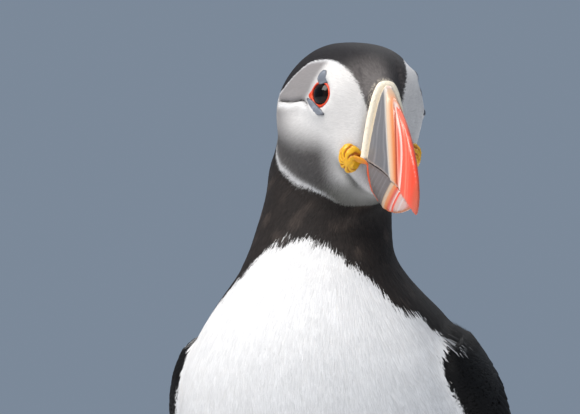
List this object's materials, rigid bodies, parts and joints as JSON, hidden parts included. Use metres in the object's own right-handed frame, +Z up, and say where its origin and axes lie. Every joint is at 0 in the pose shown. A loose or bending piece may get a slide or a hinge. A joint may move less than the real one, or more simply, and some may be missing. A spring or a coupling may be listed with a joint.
{
  "type": "atlantic puffin",
  "caption": "Standing Atlantic puffin at life size, upright on webbed feet, head turned to its left, wings folded.",
  "frame": {"origin": "on the floor under the middle of the bird's bounding box", "axes": "+Z up, the body faces -Y, the bird's left side is +X; the head is turned 45 degrees to its left"},
  "size_m": [0.1106, 0.1494, 0.2193],
  "materials": {
    "black_plumage": "glossy black back, wing and tail feathers",
    "collar_plumage": "soft brown-black collar feathers",
    "white_plumage": "soft white breast and belly feathers",
    "face_plumage": "pale grey face feathers under a black crown",
    "bill_horn": "satin horn, slate at the base and orange-red beyond",
    "cere_skin": "cream, granular",
    "rosette_skin": "soft folded yellow skin",
    "eye_gloss": "wet, very dark brown",
    "lid_skin": "bare orange-red skin",
    "eye_plate_horn": "blue-grey horn",
    "leg_skin": "orange scaled skin",
    "claw_horn": "dark horn"
  },
  "bodies": {
    "root": {"rump": "black_plumage", "abdomen": "white_plumage", "breast": "white_plumage", "neck": "collar_plumage", "head": "face_plumage", "tail": "black_plumage", "bill_upper": "bill_horn", "bill_lower": "bill_horn", "cere": "cere_skin", "wing_coverts_left": "black_plumage", "wing_secondaries_left": "black_plumage", "wing_primaries_left": "black_plumage", "thigh_left": "white_plumage", "tarsus_left": "leg_skin", "foot_left": "leg_skin", "claw_inner_left": "claw_horn", "claw_middle_left": "claw_horn", "claw_outer_left": "claw_horn", "rosette_left": "rosette_skin", "eye_left": "eye_gloss", "eye_ring_left": "lid_skin", "eye_plate_upper_left": "eye_plate_horn", "eye_plate_lower_left": "eye_plate_horn", "wing_coverts_right": "black_plumage", "wing_secondaries_right": "black_plumage", "wing_primaries_right": "black_plumage", "thigh_right": "white_plumage", "tarsus_right": "leg_skin", "foot_right": "leg_skin", "claw_inner_right": "claw_horn", "claw_middle_right": "claw_horn", "claw_outer_right": "claw_horn", "rosette_right": "rosette_skin", "eye_right": "eye_gloss", "eye_ring_right": "lid_skin", "eye_plate_upper_right": "eye_plate_horn", "eye_plate_lower_right": "eye_plate_horn"}
  },
  "joints": []
}
